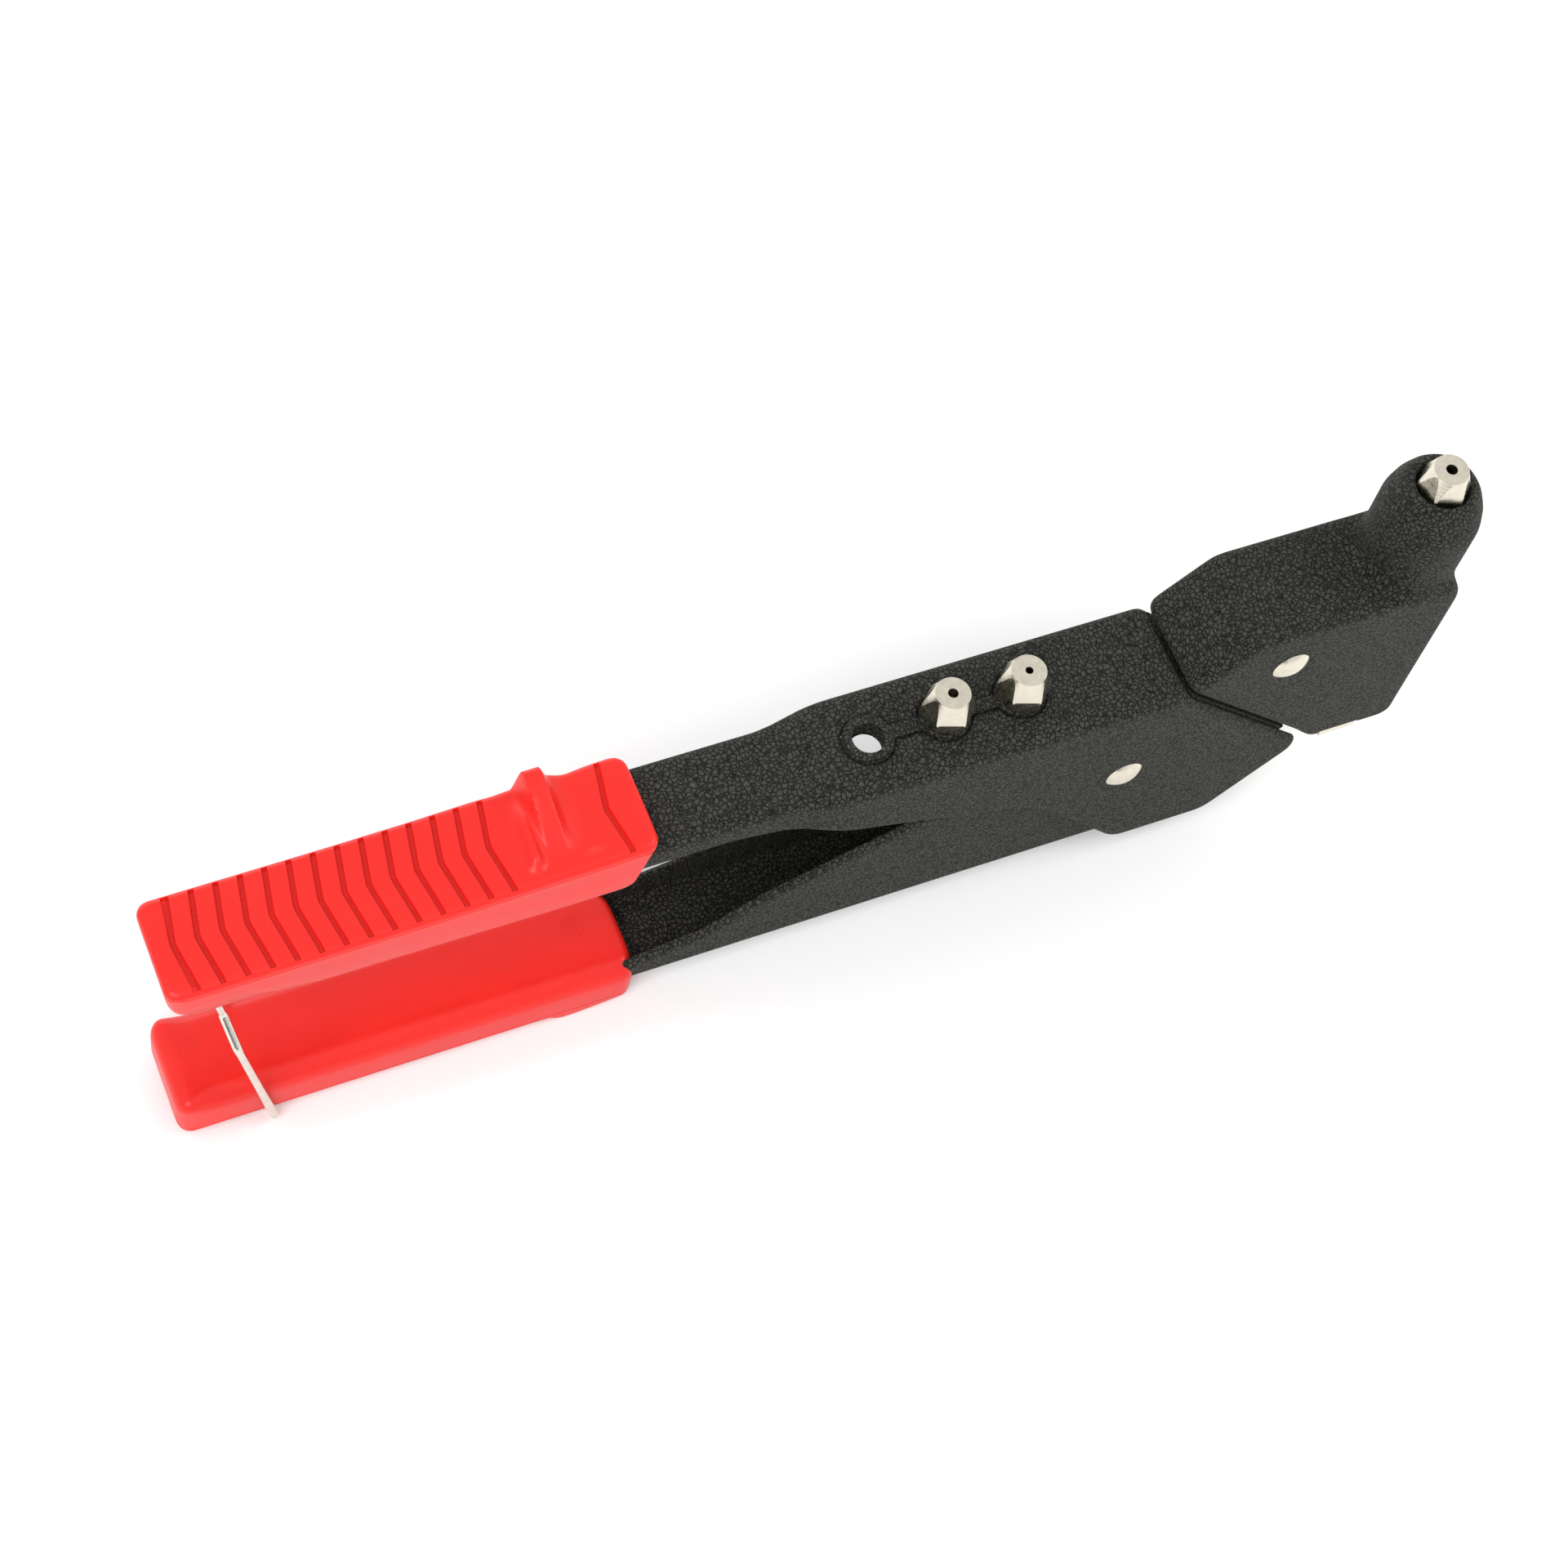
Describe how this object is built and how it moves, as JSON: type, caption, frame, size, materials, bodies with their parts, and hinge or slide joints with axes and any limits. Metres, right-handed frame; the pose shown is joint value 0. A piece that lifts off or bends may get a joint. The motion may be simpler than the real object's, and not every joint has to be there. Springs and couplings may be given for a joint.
{
  "type": "hand riveter",
  "caption": "Hand rivet gun with a swivelling angled head, red moulded grips, screw-in nosepieces stored on the body and a wire latch.",
  "frame": {"origin": "centre of the bounding box's base, under the middle of the closed tool", "axes": "+X along the tool from the grips to the head, +Z the way the nosepiece points, Y across the handles"},
  "size_m": [0.2852, 0.0276, 0.1119],
  "materials": {
    "black_powder_coat": "black leather-grain powder coat",
    "red_grip": "satin red moulded plastic",
    "nickel": "bright nickel plate",
    "bright_wire": "nickel-plated spring wire",
    "machined_steel": "machined, lightly oiled",
    "hardened_steel": "hardened, dark",
    "spring_steel": "drawn wire"
  },
  "bodies": {
    "frame": {"body_shell": "black_powder_coat", "swivel_plate": "machined_steel", "swivel_bush": "machined_steel", "swivel_clip": "machined_steel", "wave_washer": "machined_steel", "main_pivot_rivet": "nickel", "pivot_washers": "machined_steel", "nosepiece_store": "black_powder_coat", "stored_nosepiece_rear": "nickel", "stored_nosepiece_front": "nickel", "upper_grip": "red_grip"},
    "lower_handle": {"lower_handle": "black_powder_coat", "lower_grip": "red_grip", "pull_fork": "machined_steel", "fork_rivet": "machined_steel"},
    "head": {"head_shell": "black_powder_coat", "head_rear_plate": "machined_steel", "head_pin_rivet": "nickel", "lever_washers": "machined_steel", "nosepiece": "nickel", "rear_plug": "nickel", "jaw_spring": "spring_steel"},
    "latch": {"latch_wire": "bright_wire"},
    "pull_rod": {"pull_rod": "machined_steel", "rod_cross_pin": "machined_steel"},
    "head_lever": {"head_lever": "machined_steel"},
    "jaw_case": {"jaw_case": "hardened_steel", "case_connector": "hardened_steel"},
    "jaw_pusher": {"jaw_pusher": "hardened_steel"},
    "jaw_near": {"jaw_near": "hardened_steel"},
    "jaw_far": {"jaw_far": "hardened_steel"}
  },
  "joints": [
    {"name": "lower_handle_pivot", "type": "hinge", "parent": "frame", "child": "lower_handle", "pos_m": [0.06905, 0, 0.0393], "axis": [0, -1, 0], "range_deg": [0, 20]},
    {"name": "head_swivel", "type": "hinge", "parent": "frame", "child": "head", "pos_m": [0.09757, 0, 0.04728], "axis": [0.7071, 0, 0.7071], "continuous": true},
    {"name": "latch_swing", "type": "hinge", "parent": "frame", "child": "latch", "pos_m": [-0.13365, 0, 0.063], "axis": [0, 1, 0], "range_deg": [0, 70]},
    {"name": "rod_slide", "type": "slide", "parent": "head", "child": "pull_rod", "axis": [0.7071, 0, 0.7071], "range_m": [0, 0.00384]},
    {"name": "lever_turn", "type": "hinge", "parent": "head", "child": "head_lever", "pos_m": [0.10145, 0, 0.0684], "axis": [0, -1, 0], "range_deg": [0, 18.05]},
    {"name": "case_slide", "type": "slide", "parent": "head", "child": "jaw_case", "axis": [0, 0, 1], "range_m": [0, 0.00952]},
    {"name": "pusher_slide", "type": "slide", "parent": "head", "child": "jaw_pusher", "axis": [0, 0, 1], "range_m": [0, 0.00832], "deforming": ["jaw_spring"]},
    {"name": "jaw_near_slide", "type": "slide", "parent": "head", "child": "jaw_near", "axis": [0, -0.0289, 0.9996], "range_m": [0, 0.00832]},
    {"name": "jaw_far_slide", "type": "slide", "parent": "head", "child": "jaw_far", "axis": [0, 0.0289, 0.9996], "range_m": [0, 0.00832]}
  ],
  "couplings": [
    {"joint": "rod_slide", "follows": "lower_handle_pivot", "m_per_rad": 0.011},
    {"joint": "lever_turn", "follows": "lower_handle_pivot", "ratio": 0.90253},
    {"joint": "case_slide", "follows": "lower_handle_pivot", "m_per_rad": 0.027256},
    {"joint": "pusher_slide", "follows": "lower_handle_pivot", "m_per_rad": 0.023819},
    {"joint": "jaw_near_slide", "follows": "lower_handle_pivot", "m_per_rad": 0.023828},
    {"joint": "jaw_far_slide", "follows": "lower_handle_pivot", "m_per_rad": 0.023828}
  ]
}
